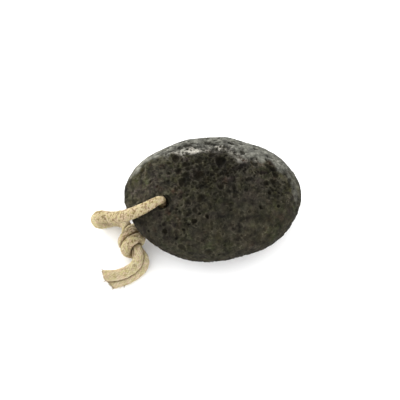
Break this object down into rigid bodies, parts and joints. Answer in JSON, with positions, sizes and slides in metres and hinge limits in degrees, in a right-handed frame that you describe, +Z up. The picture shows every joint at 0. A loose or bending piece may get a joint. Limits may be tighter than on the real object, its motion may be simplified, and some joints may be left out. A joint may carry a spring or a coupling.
{
  "type": "pumice foot stone on a cord",
  "caption": "Dark grey-brown pumice foot stone, a worn and pitted egg-shaped pebble lying on its side, drilled near one end, with a knotted cream cotton hanging cord.",
  "frame": {"origin": "On the surface that the stone lies on, under the middle of the stone's box.", "axes": "+X along the stone's length, pointing away from the drilled end, +Y across it towards the bevelled far side, +Z up."},
  "size_m": [0.1096, 0.0777, 0.0404],
  "materials": {
    "pumice": "matte",
    "cotton": "matte"
  },
  "bodies": {
    "root": {"pumice_stone": "pumice", "cord": "cotton"}
  },
  "joints": []
}
